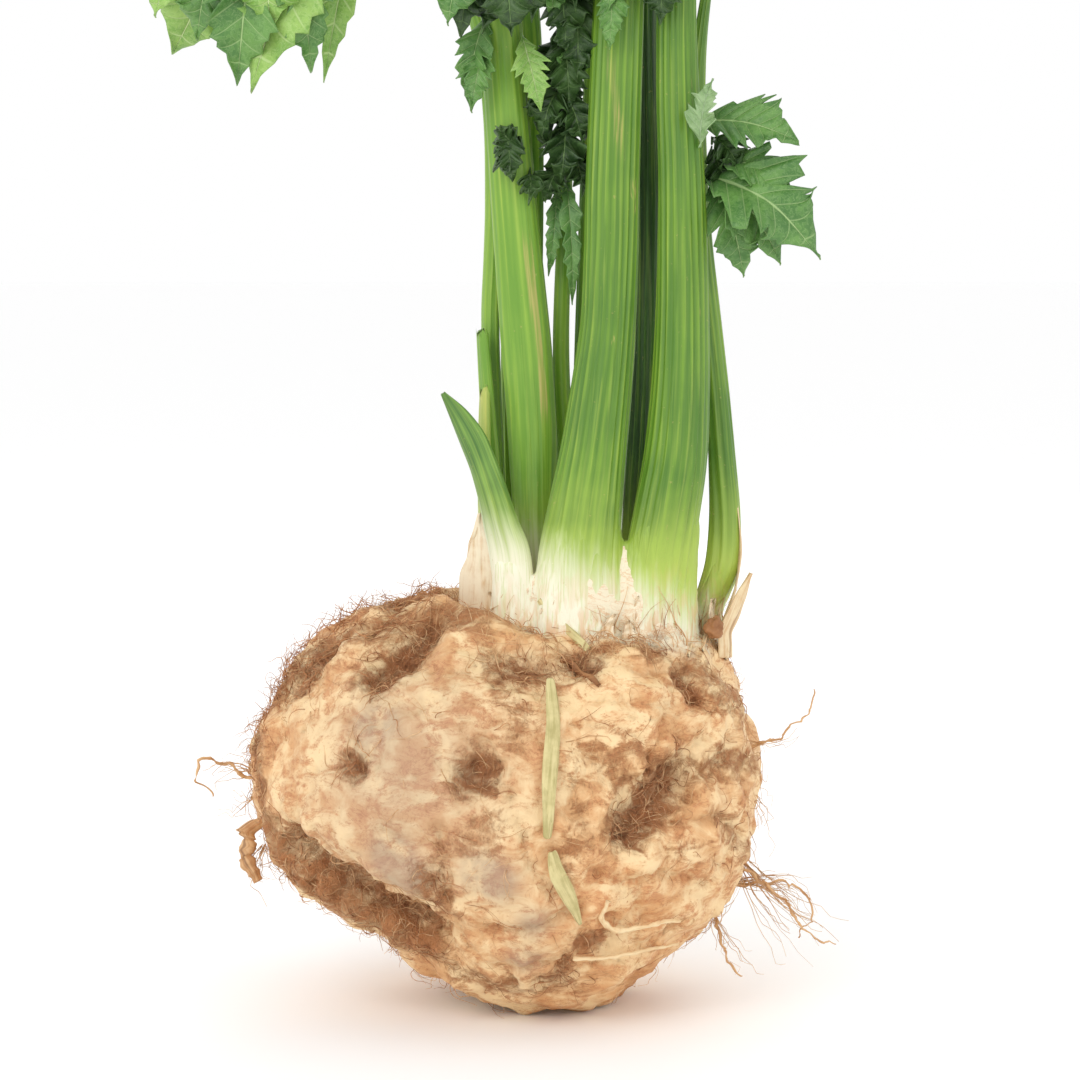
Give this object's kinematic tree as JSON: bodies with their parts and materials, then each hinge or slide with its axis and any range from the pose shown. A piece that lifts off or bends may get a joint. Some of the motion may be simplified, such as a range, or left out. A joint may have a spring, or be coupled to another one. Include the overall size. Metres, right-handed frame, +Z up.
{
  "type": "celeriac root",
  "caption": "Knobbly swollen celeriac root as picked, with thin rootlets, ribbed green leaf stalks, broken stubs and toothed leaflets; stands on a small flat spot.",
  "frame": {"origin": "the middle of the small flat spot under the root, on the surface that it stands on", "axes": "+Z up along the leaf stalks, -Y towards the side that shows the front of the root, +X to that side's right"},
  "size_m": [0.1886, 0.1211, 0.402],
  "materials": {
    "root_skin": "matt cream to tan skin, brown in the hollows",
    "stalk_green": "satin green, ribbed lengthwise, white at the foot",
    "stalk_dry": "matt, dry and papery",
    "leaf_green": "satin green with paler veins",
    "rootlet": "matt brown"
  },
  "bodies": {
    "root": {"swollen_root": "root_skin", "crown_knob": "rootlet", "strip_front": "stalk_dry", "strip_front_low": "stalk_dry", "rootlet_back": "rootlet", "rootlet_front_curved": "rootlet", "rootlet_front_straight": "rootlet", "rootlet_left_curl": "rootlet", "rootlet_left_stub": "rootlet", "rootlet_right_hook": "rootlet", "rootlet_right_long": "rootlet", "rootlet_right_lower": "rootlet", "rootlet_right_upper": "rootlet", "stalk_back": "stalk_green", "stalk_back_left": "stalk_green", "stalk_back_right": "stalk_green", "stalk_front": "stalk_green", "stalk_front_left": "stalk_green", "stalk_front_right": "stalk_green", "stalk_left_arching": "stalk_green", "stalk_middle": "stalk_green", "stalk_right": "stalk_green", "stalk_young": "stalk_green", "stub_left_short": "stalk_green", "stub_left_tall": "stalk_green", "stub_pointed": "stalk_green", "sheath_left": "stalk_dry", "sheath_right": "stalk_dry", "leaf_back_end": "leaf_green", "leaf_back_left_end": "leaf_green", "leaf_back_left_side": "leaf_green", "leaf_back_right_end": "leaf_green", "leaf_back_right_side": "leaf_green", "leaf_back_side": "leaf_green", "leaf_between": "leaf_green", "leaf_bright": "leaf_green", "leaf_front_end": "leaf_green", "leaf_front_left_dark": "leaf_green", "leaf_front_left_end": "leaf_green", "leaf_front_left_hanging": "leaf_green", "leaf_front_left_side": "leaf_green", "leaf_front_right_end": "leaf_green", "leaf_front_right_side": "leaf_green", "leaf_front_side_left": "leaf_green", "leaf_front_side_right": "leaf_green", "leaf_front_tip": "leaf_green", "leaf_left_end": "leaf_green", "leaf_left_inner": "leaf_green", "leaf_left_low": "leaf_green", "leaf_left_narrow": "leaf_green", "leaf_middle_end": "leaf_green", "leaf_middle_side": "leaf_green", "leaf_right_dark": "leaf_green", "leaf_right_end": "leaf_green", "leaf_right_flap": "leaf_green", "leaf_right_lower": "leaf_green", "leaf_right_upper": "leaf_green", "leaf_upper_left_dark": "leaf_green", "leaf_young_end": "leaf_green", "leaf_young_side": "leaf_green"}
  },
  "joints": []
}
